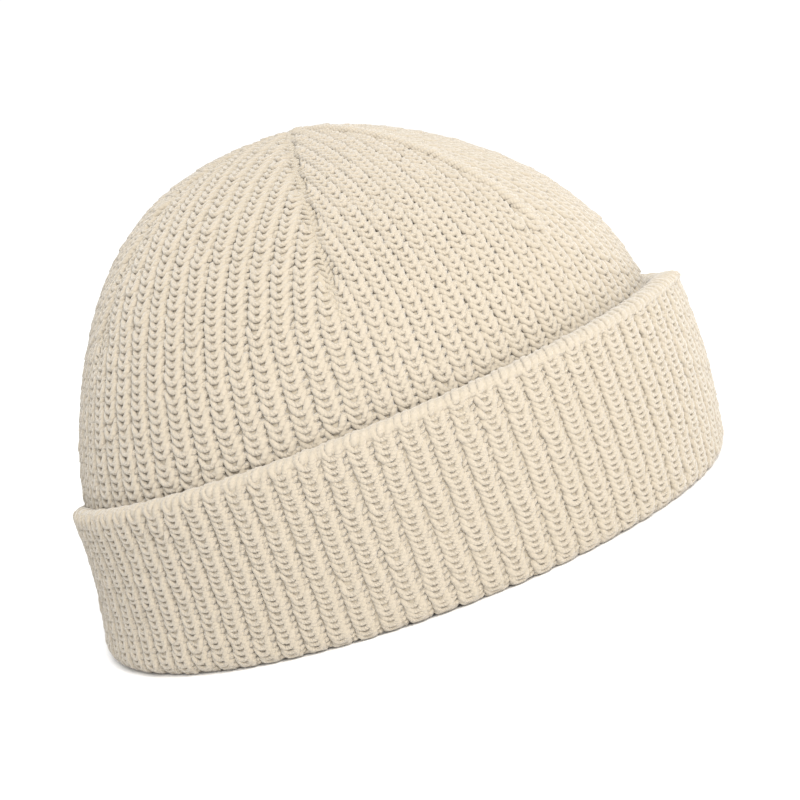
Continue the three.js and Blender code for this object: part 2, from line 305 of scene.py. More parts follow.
def crown_normals():
    """The outward direction at each point of the grid, turned straight up close to the tip."""
    along = np.gradient(CROWN_GRID, axis=1)
    across = np.empty_like(CROWN_GRID)
    ring = CROWN_GRID[:-1]
    across[:-1] = np.roll(ring, -2, axis=0) - np.roll(ring, 2, axis=0)
    across[-1] = across[0]
    out = np.cross(across, along)
    size = np.linalg.norm(out, axis=-1, keepdims=True)
    out = np.where(size > 1e-9, out / np.maximum(size, 1e-9), (0.0, 0.0, 1.0))
    climbs = np.linspace(0.0, 1.0, CROWN_GRID.shape[1])
    near_tip = np.clip((climbs - 0.96) / 0.04, 0.0, 1.0)[None, :, None]
    out = out * (1 - near_tip) + np.array([0.0, 0.0, 1.0]) * near_tip
    return out / np.linalg.norm(out, axis=-1, keepdims=True)


CROWN_NORMALS = crown_normals()


def crown_at(angle, climb):
    """The smooth middle of the crown's outer face, and its outward direction.

    A climb of less than nought lies on the skirt, which hangs straight down from the base."""
    row = ((angle - CROWN_ANGLES[0]) % (2.0 * np.pi)) / (2.0 * np.pi) * (len(CROWN_ANGLES) - 1)
    column = np.clip(climb, 0.0, 1.0) * (CROWN_GRID.shape[1] - 1)
    point = look_up(CROWN_GRID, row, column)
    point[..., 2] += np.minimum(climb, 0.0) * CROWN_SKIRT_STEP
    out = look_up(CROWN_NORMALS, row, column)
    return point, out / np.linalg.norm(out, axis=-1, keepdims=True)


def gore_tables():
    """For each gore: the angle at each climb and share of its width, and its width at each climb."""
    climbs = np.linspace(0.0, 1.0, 151)
    tables, widths = [], []
    before = np.r_[0.0, np.cumsum(GORE_SHARES)]
    for gore in range(GORES):
        angles = np.linspace(even_angle(before[gore]), even_angle(before[gore + 1] - 1e-9), 61)
        grid, _ = crown_at(*np.meshgrid(angles, climbs, indexing="ij"))
        lengths = np.cumsum(np.linalg.norm(np.diff(grid, axis=0), axis=-1), axis=0)
        lengths = np.vstack([np.zeros(len(climbs)), lengths])
        shares = np.linspace(0.0, 1.0, 41)
        whole = np.maximum(lengths[-1], 1e-6)
        apart = np.arange(len(angles)) * 1e-9
        even = [np.interp(shares, lengths[:, column] / whole[column] + apart, angles)
                for column in range(len(climbs))]
        even[-1] = even[-2]
        tables.append(np.array(even))
        widths.append(lengths[-1])
    return np.array(tables), np.array(widths)


GORE_ANGLES, GORE_WIDTHS = gore_tables()


def ribs_across(climb):
    """How many ribs wide a gore is at that climb."""
    place = climb * (GORE_WIDTHS.shape[1] - 1)
    steps = np.arange(GORE_WIDTHS.shape[1])
    width = np.interp(place, steps, GORE_WIDTHS.mean(axis=0))
    start_width = np.interp(DART_START * steps[-1], steps, GORE_WIDTHS.mean(axis=0))
    start_pitch = start_width / RIBS_PER_GORE
    share = np.clip((climb - DART_START) / (1.0 - DART_START), 0.0, 1.0)
    pitch = start_pitch + (TIP_RIB_PITCH - start_pitch) * share
    return np.where(climb < DART_START, RIBS_PER_GORE, width / pitch)


def crown_by_rib(gore, rib, climb):
    """Place and outward direction of a point so many ribs from the gore's middle line."""
    across = np.maximum(ribs_across(climb), 0.2)
    share = 0.5 + rib / across
    inside = np.clip(share, 0.0, 1.0)
    table = GORE_ANGLES[gore]
    place = np.clip(climb, 0.0, 1.0) * (table.shape[0] - 1)
    angle = look_up(table, place, inside * (table.shape[1] - 1))
    edge_step = look_up(table, place, np.ones_like(place)) - look_up(table, place, np.zeros_like(place))
    angle = angle + (share - inside) * (table.shape[1] - 1) * edge_step
    return crown_at(angle, climb)


def dart_share(climb):
    """Nought below the darts, one along them, and little again close to the top."""
    return np.clip((climb - DART_START) / 0.06, 0.0, 1.0) * np.clip((0.98 - climb) / 0.14, 0.2, 1.0)


def put_in_scene(name, points, faces):
    """Makes a smooth mesh object from points in millimetres and groups of faces."""
    mesh = bpy.data.meshes.new(name)
    mesh.vertices.add(len(points))
    mesh.vertices.foreach_set("co", (np.asarray(points, np.float32) * 0.001).ravel())
    sizes = np.concatenate([np.full(len(group), group.shape[1]) for group in faces])
    corners = np.concatenate([group.ravel() for group in faces]).astype(np.int32)
    mesh.loops.add(len(corners))
    mesh.loops.foreach_set("vertex_index", corners)
    mesh.polygons.add(len(sizes))
    mesh.polygons.foreach_set("loop_start", np.r_[0, np.cumsum(sizes)[:-1]].astype(np.int32))
    mesh.update(calc_edges=True)
    mesh.polygons.foreach_set("use_smooth", np.full(len(sizes), True))
    piece = bpy.data.objects.new(name, mesh)
    bpy.context.scene.collection.objects.link(piece)
    return piece


def add_number(piece, name, values):
    """Gives each point of a piece a number, or all of them the same, for the finish to read."""
    numbers = np.full(len(piece.data.vertices), values, np.float32)
    piece.data.attributes.new(name, "FLOAT", "POINT").data.foreach_set("value", numbers)


def grid_faces(rows, columns, first=0):
    """Quads between the rows of points that go round; the last column meets the first."""
    row, column = np.meshgrid(np.arange(rows - 1), np.arange(columns), indexing="ij")
    after = (column + 1) % columns
    near, far = row * columns, (row + 1) * columns
    corners = [near + column, near + after, far + after, far + column]
    return first + np.stack([corner.ravel() for corner in corners], axis=-1)


def closing_faces(rows, columns):
    """Quads that join the last of those rows to the first."""
    column = np.arange(columns)
    after = (column + 1) % columns
    last = (rows - 1) * columns
    return np.stack([last + column, last + after, after, column], axis=-1)


def grid_map(rows, columns, low, high):
    """The corners of those quads on a flat map, between two heights of it."""
    row, column = np.meshgrid(np.arange(rows - 1), np.arange(columns), indexing="ij")
    corners = [(column, row), (column + 1, row), (column + 1, row + 1), (column, row + 1)]
    places = [np.stack([across / columns, low + (high - low) * up / (rows - 1)], axis=-1)
              for across, up in corners]
    return np.stack(places, axis=-2).reshape(-1, 2)


def fan_map(columns, low, high):
    """The corners of a fan's triangles on a flat map, between two heights of it."""
    column = np.arange(columns)
    corners = [(column, low), (column + 1, low), (column + 0.5, high)]
    places = [np.stack([across / columns, np.full(columns, up)], axis=-1) for across, up in corners]
    return np.stack(places, axis=-2).reshape(-1, 2)


def add_map(piece, parts):
    flat = np.concatenate(parts).astype(np.float32)
    piece.data.uv_layers.new(name="OFBake").data.foreach_set("uv", flat.ravel())


COLUMNS_PER_RIB = 4
COLUMNS_PER_GORE = COLUMNS_PER_RIB * RIBS_PER_GORE
CLOTH_COLUMNS = COLUMNS_PER_RIB * RIBS
CROWN_WEB_DEPTH, CROWN_WEB_RIDGE, CROWN_WEB_CREASE = 1.2, 0.95, 1.6
CROWN_BACK_DEPTH, CROWN_BACK_RIDGE, CROWN_BACK_CREASE = KNIT_THICKNESS + 0.2, 1.1, 0.5
CROWN_SKIRT_DROP = 39.56
CROWN_SKIRT_FLARE = 0.035
CROWN_CLOTH_TOP = 0.992


def crown_cloth_row(climb, outside):
    """One row of the cloth: its outer face, or its ribbed inner one."""
    column = np.arange(CLOTH_COLUMNS)
    gore_of = column // COLUMNS_PER_GORE
    share = (column % COLUMNS_PER_GORE) / COLUMNS_PER_GORE
    across = float(ribs_across(np.array(climb)))
    points = np.empty((CLOTH_COLUMNS, 3))
    for gore in range(GORES):
        mine = gore_of == gore
        rib = (share[mine] - 0.5) * across
        place, out = crown_by_rib(gore, rib, np.full(mine.sum(), climb))
        wave = 0.5 + 0.5 * np.cos(2.0 * np.pi * rib)
        to_seam = (0.5 - np.abs(share[mine] - 0.5)) * across
        seam = np.exp(-((to_seam / DART_CREASE_HALF) ** 2)) * dart_share(climb)
        if outside:
            depth = -CROWN_WEB_DEPTH + CROWN_WEB_RIDGE * wave - CROWN_WEB_CREASE * seam
        else:
            depth = -CROWN_BACK_DEPTH + CROWN_BACK_RIDGE * wave - CROWN_BACK_CREASE * seam
        points[mine] = place + out * depth[:, None]
    return points


def crown_cloth():
    """A closed sheet: the outer face, the inner one, the rim between them and both tips."""
    skirt = np.linspace(-CROWN_SKIRT_DROP / CROWN_SKIRT_STEP, 0.0, 7)[:-1]
    climbs = np.r_[skirt, np.linspace(0.0, CROWN_CLOTH_TOP, 27)]
    half = len(climbs)
    outer = [crown_cloth_row(climb, True) for climb in climbs]
    inner = [crown_cloth_row(climb, False) for climb in climbs[::-1]]
    rows = np.array(outer + inner)
    flare = 1 + CROWN_SKIRT_FLARE * np.clip(climbs / climbs[0], 0.0, 1.0) ** 1.5
    flare = np.r_[flare, flare[::-1]][:, None]
    rows[..., 0] = FOLD_MIDDLE[0] + (rows[..., 0] - FOLD_MIDDLE[0]) * flare
    tips = np.array([rows[half - 1].mean(axis=0), rows[half].mean(axis=0)])
    points = np.vstack([rows.reshape(-1, 3), tips])
    tip = len(points) - 2
    column = np.arange(CLOTH_COLUMNS)
    after = (column + 1) % CLOTH_COLUMNS
    last, under = (half - 1) * CLOTH_COLUMNS, half * CLOTH_COLUMNS
    walls = [grid_faces(half, CLOTH_COLUMNS), grid_faces(half, CLOTH_COLUMNS, under)]
    rim = closing_faces(len(rows), CLOTH_COLUMNS)
    top = np.stack([last + column, last + after, np.full_like(column, tip)], axis=-1)
    roof = np.stack([under + after, under + column, np.full_like(column, tip + 1)], axis=-1)
    cloth = put_in_scene("crown_cloth", points, [*walls, rim, top, roof])
    add_map(cloth, [grid_map(half, CLOTH_COLUMNS, 0.0, 0.42), grid_map(half, CLOTH_COLUMNS, 0.43, 0.85),
                    grid_map(2, CLOTH_COLUMNS, 0.86, 0.89), fan_map(CLOTH_COLUMNS, 0.9, 0.94),
                    fan_map(CLOTH_COLUMNS, 0.95, 0.99)])
    return cloth


crown_web = crown_cloth()

PLY_WAVES = 12.566


def yarn_finish(name, light, shade):
    """Soft matte plied yarn with painted shade: paler where it stands proud, and painted darker and
    browner down between the stitches, where shade falls.
    """
    made = Finish(bpy.data.materials.new(name))
    place = made.node("ShaderNodeTexCoord", output="Object")
    depth = made.node("ShaderNodeAttribute", {"attribute_name": "proud"}, output="Fac")
    tint = made.node("ShaderNodeAttribute", {"attribute_name": "tint"}, output="Fac")
    cloud = made.node("ShaderNodeTexNoise", {}, {"Vector": place, "Scale": 22.0, "Detail": 2.0})
    fleck = made.node("ShaderNodeTexNoise", {}, {"Vector": place, "Scale": 900.0, "Detail": 3.0})
    # Painted shade: the 'proud' number paints the yarn towards the shade colour deep between the stitches;
    # the tint and the noises are the yarn's own uneven tone.
    painted_shade_and_tone = depth * 0.7 + tint * 0.16 + cloud * 0.2 + fleck * 0.22 - 0.14
    colour = made.node("ShaderNodeMix", {"data_type": "RGBA", "clamp_factor": True},
                       {0: painted_shade_and_tone, 6: shade, 7: light}, output=2)
    made.feed(made.shader.inputs["Base Color"], colour)
    strand = made.node("ShaderNodeAttribute", {"attribute_name": "strand"}, output="Fac")
    twist = made.node("ShaderNodeMath", {"operation": "SINE"}, {0: strand * PLY_WAVES})
    fibre = made.node("ShaderNodeTexNoise", {}, {"Vector": place, "Scale": 2600.0, "Detail": 2.0})
    height = twist * 0.5 + fibre * 0.7 + fleck * 1.2
    bump = made.node("ShaderNodeBump", {}, {"Height": height, "Distance": 0.00014, "Strength": 0.8})
    made.feed(made.shader.inputs["Normal"], bump)
    made.feed(made.shader.inputs["Roughness"], 0.95)
    made.feed(made.shader.inputs["Specular IOR Level"], 0.2)
    made.feed(made.shader.inputs["Sheen Weight"], 0.42)
    made.feed(made.shader.inputs["Sheen Roughness"], 0.6)
    made.feed(made.shader.inputs["Sheen Tint"], (1.0, 0.99, 0.97, 1.0))
    return made.owner


# Each yarn's two colours are its painted lit tone and its painted shaded tone, mixed by how deep the yarn
# lies.
ecru_yarn = yarn_finish("ecru_yarn", (0.374, 0.327, 0.26, 1.0), (0.338, 0.291, 0.218, 1.0))
# Painted light: a copy of the ecru yarn painted a touch lighter, for the dart chains and the cuff's edge,
# which catch more light.
painted_lighter_yarn = yarn_finish("pale_ecru_yarn", (0.379, 0.332, 0.265, 1.0), (0.343, 0.296, 0.223, 1.0))
crown_web.data.materials.append(ecru_yarn)
# Painted shade: the web is painted darker than the stitches' crests, as it lies in their shade.
add_number(crown_web, "proud", 0.35)
add_number(crown_web, "tint", 0.5)
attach(crown_web, "root")

# The crown's stitches: each rib is a chain of fat yarn loops, one to a row, and a slanting
# bead of yarn crosses the groove beside each. A loop hangs as a U over the next one down.
# Rows that the cuff hides are left out, and the last loops of a rib are drawn into its dart.
CROWN_ROW_PITCH = 2.45
FIRST_ROWS = (2, 0, -3, -3, -3, 0)
LAST_ROW_SHARE = 0.985
LOOP_SINKS = 0.75
DART_DRAWS_IN = 1.8
SWAY_ACROSS, SWAY_UP, SWAY_PROUD, SWAY_SIZE = 0.03, 0.07, 0.12, 0.07
LOOP_PATH = (
    # across (ribs), up (rows), proud (mm), half width (mm), half depth (mm)
    (-0.36, 1.64, -1.45, 0.72, 0.76),
    (-0.33, 1.14, -0.72, 1.08, 1.02),
    (-0.28, 0.64, -0.40, 1.16, 1.06),
    (-0.19, 0.16, -0.22, 1.04, 1.02),
    (-0.07, -0.02, -0.14, 0.92, 0.98),
    (0.06, -0.02, -0.12, 0.92, 0.98),
    (0.17, 0.14, -0.18, 1.06, 1.02),
    (0.27, 0.66, -0.34, 1.22, 1.08),
    (0.33, 1.18, -0.58, 1.18, 1.04),
    (0.38, 1.66, -1.35, 0.76, 0.78),
)
GROOVE_PATH = (
    (0.33, -0.42, -1.20, 0.62, 0.66),
    (0.40, -0.08, -0.68, 0.98, 0.98),
    (0.48, 0.18, -0.60, 0.98, 1.00),
    (0.56, 0.30, -0.86, 0.78, 0.84),
    (0.64, 0.34, -1.60, 0.54, 0.58),
)


def smooth_path(table, steps):
    """So many rows on a rounded line through the table's rows."""
    table = np.array(table)
    at = np.linspace(0.0, len(table) - 1.0, steps)
    row = np.clip(at.astype(int), 0, len(table) - 2)
    part = (at - row)[:, None]
    before, start = table[np.maximum(row - 1, 0)], table[row]
    end, after = table[row + 1], table[np.minimum(row + 2, len(table) - 1)]
    slope = end - before
    bend = 2 * before - 5 * start + 4 * end - after
    twist = 3 * start - before - 3 * end + after
    return 0.5 * (2 * start + slope * part + bend * part**2 + twist * part**3)


def tubes(centres, outs, half_width, half_depth, sides):
    """Closed tubes of yarn along rows of points: (tube, step, side) places."""
    along = np.gradient(centres, axis=1)
    along /= np.maximum(np.linalg.norm(along, axis=-1, keepdims=True), 1e-9)
    across = np.cross(along, outs)
    across /= np.maximum(np.linalg.norm(across, axis=-1, keepdims=True), 1e-9)
    out = np.cross(across, along)
    turn = np.arange(sides) * 2.0 * np.pi / sides
    wide = (across * half_width[..., None])[:, :, None, :] * np.cos(turn)[None, None, :, None]
    deep = (out * half_depth[..., None])[:, :, None, :] * np.sin(turn)[None, None, :, None]
    return centres[:, :, None, :] + wide + deep


def tube_faces(count, steps, sides):
    """The walls of all the tubes, then their first ends, then their last ones."""
    first = np.arange(count)[:, None] * steps * sides
    walls = first[:, :, None] + grid_faces(steps, sides)
    side = np.arange(sides)
    return [walls.reshape(-1, 4), first + side[::-1], first + (steps - 1) * sides + side]


def tube_map(count, steps, sides):
    """A flat map with a cell to each tube: its wall unrolled, and its two ends below and above."""
    cells = int(np.ceil(np.sqrt(count)))
    cell = np.stack([np.arange(count) % cells, np.arange(count) // cells], axis=-1)[:, None, :]
    step, side = np.meshgrid(np.arange(steps - 1), np.arange(sides), indexing="ij")
    corners = [(side, step + 1), (side + 1, step + 1), (side + 1, step + 2), (side, step + 2)]
    places = [np.stack([across / sides, up / (steps + 1)], axis=-1) for across, up in corners]
    wall = np.stack(places, axis=-2)
    turn = np.arange(sides) * 2.0 * np.pi / sides
    end = np.stack([0.5 + 0.3 * np.cos(turn), (0.5 + 0.35 * np.sin(turn)) / (steps + 1)], axis=-1)
    parts = [wall, end, end + np.array([0.0, steps / (steps + 1)])]
    return [((cell + 0.04 + 0.92 * part.reshape(1, -1, 2)) / cells).reshape(-1, 2) for part in parts]


def loop_piece(name, rings, proud, tints, finish, slot):
    """One piece of many yarn tubes, with what its finish reads and its own flat map."""
    count, steps, sides, _ = rings.shape
    piece = put_in_scene(name, rings.reshape(-1, 3), tube_faces(count, steps, sides))
    add_map(piece, tube_map(count, steps, sides))
    # Painted shade: the 'proud' numbers tell the finish how much darker to paint each ring of yarn.
    add_number(piece, "proud", np.repeat(proud.ravel(), sides))
    add_number(piece, "tint", np.repeat(tints, steps * sides))
    strand = np.arange(steps)[None, :, None] * 0.55 + np.arange(sides)[None, None, :] * (1.0 / sides)
    add_number(piece, "strand", np.broadcast_to(strand, (count, steps, sides)).ravel())
    piece.data.materials.append(finish)
    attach(piece, "root")
    return piece


def painted_lightness_by_depth(proud):
    """How light the yarn is painted, as painted shade: nought for yarn deep down between the stitches,
    where shade falls, and one for yarn on their crests.
    """
    return np.clip((proud + 2.6) / 2.5, 0.0, 1.0)


def crown_stitches(gore, stitch, steps, sides, aside, seed):
    """Every stitch of one kind in a gore; those aside by half a rib lie in the grooves."""
    chance = np.random.default_rng(seed)
    ribs = np.arange(RIBS_PER_GORE) - (RIBS_PER_GORE - 1) / 2.0
    rows = np.arange(float(FIRST_ROWS[gore]), CROWN_LENGTH / CROWN_ROW_PITCH * LAST_ROW_SHARE)
    rib, row = np.meshgrid(ribs, rows, indexing="ij")
    rib, row = rib.ravel(), row.ravel()
    climb = row * CROWN_ROW_PITCH / CROWN_LENGTH
    below_darts = climb < DART_START
    room = ribs_across(climb) / 2.0 - np.abs(rib + aside)
    kept = (room > 0.2) | (below_darts & (room > -0.01))
    rib, row = rib[kept], row[kept]
    room = np.maximum(room[kept], 0.5 * below_darts[kept])
    count = len(rib)
    path = smooth_path(stitch, steps)
    sway = chance.normal(0.0, 1.0, (count, 4))
    at_rib = rib[:, None] + path[None, :, 0] + sway[:, 0, None] * SWAY_ACROSS
    at_row = row[:, None] + path[None, :, 1] + sway[:, 1, None] * SWAY_UP
    climbs = at_row * CROWN_ROW_PITCH / CROWN_LENGTH
    half = ribs_across(climbs) / 2.0
    past = np.maximum(np.abs(at_rib) - half + 0.12, 0.0)
    at_rib = at_rib - np.sign(at_rib) * past * (climbs > DART_START)
    point, out = crown_by_rib(gore, at_rib, climbs)
    to_dart = np.maximum(half - np.abs(at_rib), 0.0)
    near_dart = np.exp(-((to_dart / DART_CREASE_HALF) ** 2)) * dart_share(climbs)
    proud = path[None, :, 2] - DART_DRAWS_IN * near_dart + sway[:, 2, None] * SWAY_PROUD
    size = np.clip(1.0 + sway[:, 3, None] * SWAY_SIZE, 0.8, 1.2)
    narrow = np.clip(room[:, None] * 1.6 + 0.35, 0.5, 1.0)
    pitch = np.interp(climbs, [0.0, DART_START, 1.0], [1.0, 0.97, 0.86])
    centres = point + out * (proud + RIB_RELIEF / 2.0 - LOOP_SINKS)[..., None]
    half_width = path[None, :, 3] * size * narrow * pitch
    half_depth = path[None, :, 4] * size * narrow
    rings = tubes(centres, out, half_width, half_depth, sides)
    return rings, painted_lightness_by_depth(proud), chance.uniform(0.0, 1.0, count)


def crown_gore(gore):
    """Two pieces: the loops on a gore's ribs, and the beads in its grooves."""
    loops = crown_stitches(gore, LOOP_PATH, steps=9, sides=6, aside=0.0, seed=11 + gore)
    beads = crown_stitches(gore, GROOVE_PATH, steps=5, sides=4, aside=0.5, seed=111 + gore)
    return [loop_piece(f"crown_ribs_{gore + 1}", *loops, ecru_yarn, "ecru_rib_knit"),
            loop_piece(f"crown_grooves_{gore + 1}", *beads, ecru_yarn, "ecru_rib_knit")]


crown_stitch_pieces = [piece for gore in range(GORES) for piece in crown_gore(gore)]
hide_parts("crown")

# The dart seams: where two gores are linked, their last stitches are drawn together into one
# chain of slanting loops that lies in the dart's crease, from its lower end up to the tip.
# The first dart's chain is pulled in, and the second's is fat and stands proud of the ribs.
SEAM_STEP = 2.3
CHAIN_RISES = (-1.3, 1.1, -0.4, -0.4, -0.4, -0.6)
CHAIN_SIZES = (0.85, 1.3, 1.0, 1.0, 1.0, 0.95)
SEAM_PATH = (
    # across (mm), up (steps), proud (mm), half width (mm), half depth (mm)
    (2.3, 1.25, -1.9, 0.62, 0.60),
    (1.75, 0.80, -0.95, 0.92, 0.85),
    (0.95, 0.32, -0.30, 0.98, 0.92),
    (0.10, -0.12, -0.25, 0.86, 0.80),
    (-0.55, -0.50, -1.00, 0.60, 0.60),
)


def dart_seam(gore):
    """The two columns of loops that slant together along the dart at a gore's first edge."""
    chance = np.random.default_rng(40 + gore)
    steps = int((1.0 - DART_START) * CROWN_LENGTH / SEAM_STEP) - 1
    path = smooth_path(SEAM_PATH, steps=8)
    centres, outs, widths, depths = [], [], [], []
    for side in (1.0, -1.0):
        step = np.arange(steps) + (0.5 if side < 0 else 0.0)
        climb = DART_START - 0.004 + (step[:, None] + path[None, :, 1]) * SEAM_STEP / CROWN_LENGTH
        climb = np.clip(climb + chance.normal(0.0, 0.0006, (steps, 1)), 0.0, 0.995)
        across = path[None, :, 0] * side * np.clip((1.0 - climb) * 14.0, 0.25, 1.0)
        width = np.interp(climb, np.linspace(0, 1, GORE_WIDTHS.shape[1]), GORE_WIDTHS[gore])
        ribs = ribs_across(climb)
        point, out = crown_by_rib(gore, -ribs / 2.0 + across / np.maximum(width, 1.0) * ribs, climb)
        proud = path[None, :, 2] + CHAIN_RISES[gore] * dart_share(climb)
        proud = proud + chance.normal(0.0, 0.08, (steps, 1))
        centres.append(point + out * proud[..., None])
        outs.append(out)
        size = CHAIN_SIZES[gore] * (1.0 + chance.normal(0.0, 0.05, (steps, 1)))
        widths.append(path[None, :, 3] * size)
        depths.append(path[None, :, 4] * size)
    centres, outs = np.concatenate(centres), np.concatenate(outs)
    rings = tubes(centres, outs, np.concatenate(widths), np.concatenate(depths), sides=6)
    # Painted shade: the chain's yarn is painted lighter where it stands proud and darker where it dives
    # under the ribs.
    painted_lightness = np.clip((path[None, :, 2] + CHAIN_RISES[gore] + 2.2) / 2.4, 0.0, 1.0)
    painted_lightness = np.broadcast_to(painted_lightness, rings.shape[:2])
    tints = chance.uniform(0.0, 1.0, len(centres))
    piece = loop_piece(f"dart_chain_{gore + 1}", rings, painted_lightness, tints, painted_lighter_yarn, "pale_ecru_yarn")
    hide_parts(f"dart_seam_{gore + 1}")
    return piece


dart_chains = [dart_seam(gore) for gore in range(GORES)]

# The cuff's cloth: the same tube turned up over itself, so it shows the knit's other face. Its
# bottom is a soft round fold. Its edge stands higher at the front end and on the near side.
BAND_LENGTH, BAND_WIDTH = 224.0, 175.5
CUFF_HEIGHT = 58.7
CUFF_EDGE_LENGTH, CUFF_EDGE_WIDTH = 218.6, 181.0
CUFF_EDGE_LIFT = (4.9, -5.1)
CUFF_EDGE_DROP = 4.5
CUFF_EDGE_SHIFT = (3.4, -2.2)
CUFF_BULGE = 1.8
CUFF_LEAN = -0.005
FOLD_RADIUS = 5.5
BAND_THICKNESS = 2.0 * KNIT_THICKNESS + 0.35
FOLD_ARC = np.pi * (BAND_THICKNESS / 2.0 + FOLD_RADIUS) / 2.0
CUFF_WEB_DEPTH, CUFF_WEB_RIDGE = 1.75, 0.75
CUFF_BACK_DEPTH, CUFF_BACK_RIDGE = 3.9, 0.4
CUFF_WEB_START, CUFF_WEB_PAST_FOLD = 2.2, 3.0


def cuff_edge_height(angle):
    """The height of the cuff's edge: it leans, and drops softly on the far side."""
    far_side = np.clip((np.sin(angle) + 0.35) / 0.6, 0.0, 1.0)
    drop = CUFF_EDGE_DROP * far_side * far_side * (3.0 - 2.0 * far_side)
    return CUFF_HEIGHT + CUFF_EDGE_LIFT[0] * np.cos(angle) + CUFF_EDGE_LIFT[1] * np.sin(angle) - drop


def cuff_outline(angle, climb):
    """The cuff's outer face seen from above, from the fold at climb nought to the edge at one."""
    bulge = CUFF_BULGE * np.sin(np.pi * np.clip(climb, 0.0, 1.0)) * np.cos(angle)
    half_length = (BAND_LENGTH + (CUFF_EDGE_LENGTH - BAND_LENGTH) * climb) / 2.0 + bulge
    half_width = (BAND_WIDTH + (CUFF_EDGE_WIDTH - BAND_WIDTH) * climb) / 2.0 + bulge
    x = FOLD_MIDDLE[0] + CUFF_EDGE_SHIFT[0] * climb + half_length * np.cos(angle)
    y = FOLD_MIDDLE[1] + CUFF_EDGE_SHIFT[1] * climb + half_width * np.sin(angle)
    return np.stack([x, y], axis=-1)


def cuff_at(share, below_edge):
    """A point on the cuff's outer face and its outward direction: so far round, and so many
    millimetres of cloth below the edge. Past the fold it goes up inside."""
    angle = even_angle(share)
    rise = cuff_edge_height(angle) - FOLD_RADIUS
    up = rise - below_edge
    climb = np.clip(up / rise, 0.0, 1.0)
    angle = even_angle(share + CUFF_LEAN * climb)
    turn = np.clip(-up / FOLD_ARC, 0.0, 1.0) * np.pi
    inset = BAND_THICKNESS / 2.0 * (1.0 - np.cos(turn))
    height = FOLD_RADIUS * (1.0 - np.sin(turn)) + np.maximum(up, 0.0) + np.maximum(-up - FOLD_ARC, 0.0)
    step = 1e-3
    side = cuff_outline(angle + step, climb) - cuff_outline(angle - step, climb)
    side /= np.linalg.norm(side, axis=-1, keepdims=True)
    inward = np.stack([-side[..., 1], side[..., 0]], axis=-1)
    flat = cuff_outline(angle, climb) + inward * inset[..., None]
    out = np.concatenate([-inward * np.cos(turn)[..., None], -np.sin(turn)[..., None]], axis=-1)
    return np.concatenate([flat, height[..., None]], axis=-1), out


def cuff_cloth():
    """A closed sheet from under the edge, down, round the fold and a little up inside."""
    column = np.arange(CLOTH_COLUMNS) / CLOTH_COLUMNS
    wave = 0.5 + 0.5 * np.cos(2.0 * np.pi * np.arange(CLOTH_COLUMNS) / COLUMNS_PER_RIB)
    web = -CUFF_WEB_DEPTH + CUFF_WEB_RIDGE * wave
    back = -CUFF_BACK_DEPTH - CUFF_BACK_RIDGE * wave
    rise = cuff_edge_height(even_angle(column)) - FOLD_RADIUS
    shares = np.linspace(0.0, 1.0, 17)
    rows = []
    for depth, order in ((web, shares[::-1]), (back, shares)):
        for share in order:
            below = CUFF_WEB_START + share * (rise + FOLD_ARC + CUFF_WEB_PAST_FOLD)
            place, out = cuff_at(column, below)
            rows.append(place + out * depth[:, None])
    rows = np.array(rows)
    faces = [grid_faces(len(rows), CLOTH_COLUMNS), closing_faces(len(rows), CLOTH_COLUMNS)]
    cloth = put_in_scene("cuff_cloth", rows.reshape(-1, 3), faces)
    add_map(cloth, [grid_map(len(rows), CLOTH_COLUMNS, 0.0, 0.95), grid_map(2, CLOTH_COLUMNS, 0.96, 0.99)])
    return cloth


cuff_web = cuff_cloth()
cuff_web.data.materials.append(ecru_yarn)
# Painted shade: the web is painted darker than the stitches' crests, as it lies in their shade.
add_number(cuff_web, "proud", 0.35)
add_number(cuff_web, "tint", 0.4)
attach(cuff_web, "root")
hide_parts("cuff")

# The cuff's stitches: the same fat loops, but pressed broader and with tighter rows. They run
# from the edge down, round the bottom fold and out of sight inside it.
CUFF_ROW_PITCH = 2.05
CUFF_SECTIONS = 4
CUFF_LOOPS_START, CUFF_LOOPS_PAST_FOLD = 3.2, 1.0
CUFF_LOOP_SINKS = 0.85
CUFF_LOOP_PATH = (
    # across (ribs), up (rows), proud (mm), half width (mm), half depth (mm)
    (-0.34, 1.90, -1.40, 0.70, 0.76),
    (-0.30, 1.36, -0.66, 1.10, 1.02),
    (-0.26, 0.82, -0.38, 1.16, 1.05),
    (-0.20, 0.26, -0.24, 1.00, 1.00),
    (-0.09, -0.01, -0.18, 0.78, 0.92),
    (0.03, -0.03, -0.15, 0.76, 0.92),
    (0.13, 0.05, -0.18, 0.88, 0.98),
    (0.21, 0.38, -0.26, 1.12, 1.05),
    (0.26, 0.90, -0.38, 1.22, 1.06),
    (0.31, 1.42, -0.60, 1.14, 1.02),
    (0.36, 1.92, -1.30, 0.72, 0.78),
)
CUFF_GROOVE_PATH = (
    (0.31, -0.50, -1.10, 0.58, 0.64),
    (0.38, -0.12, -0.58, 0.92, 0.96),
    (0.46, 0.18, -0.50, 0.90, 0.96),
    (0.54, 0.32, -0.78, 0.70, 0.80),
    (0.62, 0.36, -1.50, 0.50, 0.55),
)


